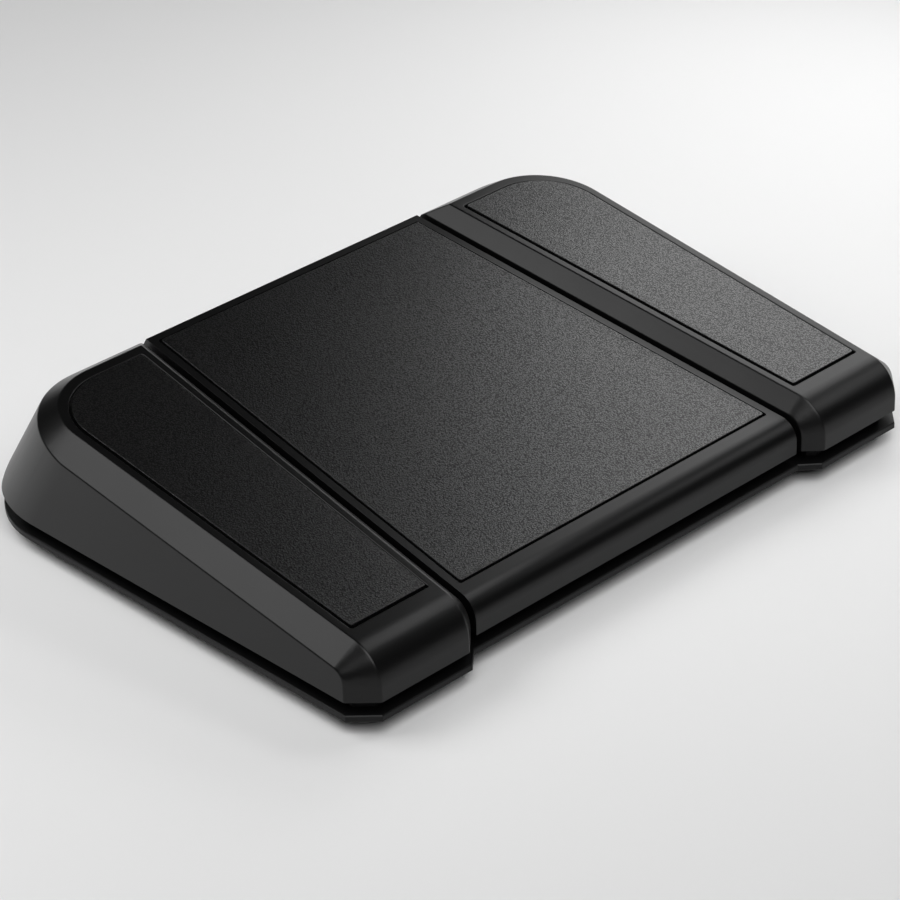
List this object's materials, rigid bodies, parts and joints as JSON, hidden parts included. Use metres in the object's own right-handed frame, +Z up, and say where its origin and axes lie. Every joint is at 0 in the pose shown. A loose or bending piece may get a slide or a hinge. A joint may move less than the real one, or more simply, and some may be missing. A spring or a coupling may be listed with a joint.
{
  "type": "usb foot pedal switch",
  "caption": "Wedge-shaped foot switch with a wide centre pedal between two raised side pedals on a steel base plate, sprung and hinged at the rear over snap switches and a usb circuit board",
  "frame": {"origin": "centre of the base footprint at the soles of the rubber feet", "axes": "+X to the user's right across the pedals, +Y from the low front to the high rear, +Z up"},
  "size_m": [0.237, 0.1844, 0.0499],
  "materials": {
    "steel_plate": "black powder coat, satin",
    "rubber": "matte",
    "screw_steel": "zinc plated",
    "frame_plastic": "moulded, matte",
    "bush_plastic": "natural, smooth",
    "pedal_plastic": "moulded, fine satin",
    "grip_pad": "fine grain texture",
    "shaft_steel": "ground, bright",
    "switch_plastic": "smooth",
    "plunger_plastic": "smooth red",
    "board": "green solder mask",
    "socket_steel": "plated",
    "chip_plastic": "moulded",
    "component": "ceramic",
    "lead_sheath": "smooth sheath"
  },
  "bodies": {
    "base": {"base_plate": "steel_plate", "rubber_feet": "rubber", "base_screws": "screw_steel", "chassis": "frame_plastic", "hinge_caps": "frame_plastic", "hinge_cap_screws": "screw_steel", "hinge_bushes": "bush_plastic", "left_switch": "switch_plastic", "center_switch": "switch_plastic", "right_switch": "switch_plastic", "switch_screws": "screw_steel", "upper_stop_pads": "rubber", "lower_stop_buffers": "rubber", "main_board": "board", "board_screws": "screw_steel", "usb_socket": "socket_steel", "controller_chip": "chip_plastic", "board_components": "component", "lead_sockets": "bush_plastic", "left_switch_lead": "lead_sheath", "center_switch_lead": "lead_sheath", "right_switch_lead": "lead_sheath", "left_spring": "shaft_steel", "center_springs": "shaft_steel", "right_spring": "shaft_steel"},
    "left_pedal_body": {"left_pedal": "pedal_plastic", "left_grip_pad": "grip_pad", "left_hinge_shaft": "shaft_steel", "left_shaft_clips": "shaft_steel"},
    "left_lever_body": {"left_switch_lever": "shaft_steel"},
    "left_plunger_body": {"left_switch_plunger": "plunger_plastic"},
    "center_pedal_body": {"center_pedal": "pedal_plastic", "center_grip_pad": "grip_pad", "center_hinge_shaft": "shaft_steel", "center_shaft_clips": "shaft_steel"},
    "center_lever_body": {"center_switch_lever": "shaft_steel"},
    "center_plunger_body": {"center_switch_plunger": "plunger_plastic"},
    "right_pedal_body": {"right_pedal": "pedal_plastic", "right_grip_pad": "grip_pad", "right_hinge_shaft": "shaft_steel", "right_shaft_clips": "shaft_steel"},
    "right_lever_body": {"right_switch_lever": "shaft_steel"},
    "right_plunger_body": {"right_switch_plunger": "plunger_plastic"}
  },
  "joints": [
    {"name": "left_pedal_press", "type": "hinge", "parent": "base", "child": "left_pedal_body", "pos_m": [-0.084, 0.0718, 0.02], "axis": [1, 0, 0], "range_deg": [0, 1.3], "stiffness_Nm_per_rad": 27.8, "springref_deg": -1.49, "deforming": ["left_spring"]},
    {"name": "center_pedal_press", "type": "hinge", "parent": "base", "child": "center_pedal_body", "pos_m": [0, 0.0718, 0.02], "axis": [1, 0, 0], "range_deg": [0, 1.3], "stiffness_Nm_per_rad": 55.7, "springref_deg": -1.49, "deforming": ["center_springs"]},
    {"name": "right_pedal_press", "type": "hinge", "parent": "base", "child": "right_pedal_body", "pos_m": [0.084, 0.0718, 0.02], "axis": [1, 0, 0], "range_deg": [0, 1.3], "stiffness_Nm_per_rad": 27.8, "springref_deg": -1.49, "deforming": ["right_spring"]},
    {"name": "left_lever_turn", "type": "hinge", "parent": "base", "child": "left_lever_body", "pos_m": [-0.09, -0.0042, 0.0229], "axis": [1, 0, 0], "range_deg": [0, 7.6]},
    {"name": "center_lever_turn", "type": "hinge", "parent": "base", "child": "center_lever_body", "pos_m": [0, -0.0042, 0.0229], "axis": [1, 0, 0], "range_deg": [0, 7.6]},
    {"name": "right_lever_turn", "type": "hinge", "parent": "base", "child": "right_lever_body", "pos_m": [0.09, -0.0042, 0.0229], "axis": [1, 0, 0], "range_deg": [0, 7.6]},
    {"name": "left_plunger_slide", "type": "slide", "parent": "base", "child": "left_plunger_body", "axis": [0, 0, -1], "range_m": [0, 0.00087]},
    {"name": "center_plunger_slide", "type": "slide", "parent": "base", "child": "center_plunger_body", "axis": [0, 0, -1], "range_m": [0, 0.00087]},
    {"name": "right_plunger_slide", "type": "slide", "parent": "base", "child": "right_plunger_body", "axis": [0, 0, -1], "range_m": [0, 0.00087]}
  ],
  "couplings": [
    {"joint": "left_lever_turn", "follows": "left_pedal_press", "ratio": 5.75},
    {"joint": "center_lever_turn", "follows": "center_pedal_press", "ratio": 5.75},
    {"joint": "right_lever_turn", "follows": "right_pedal_press", "ratio": 5.75},
    {"joint": "left_plunger_slide", "follows": "left_pedal_press", "m_per_rad": 0.0374},
    {"joint": "center_plunger_slide", "follows": "center_pedal_press", "m_per_rad": 0.0374},
    {"joint": "right_plunger_slide", "follows": "right_pedal_press", "m_per_rad": 0.0374}
  ]
}
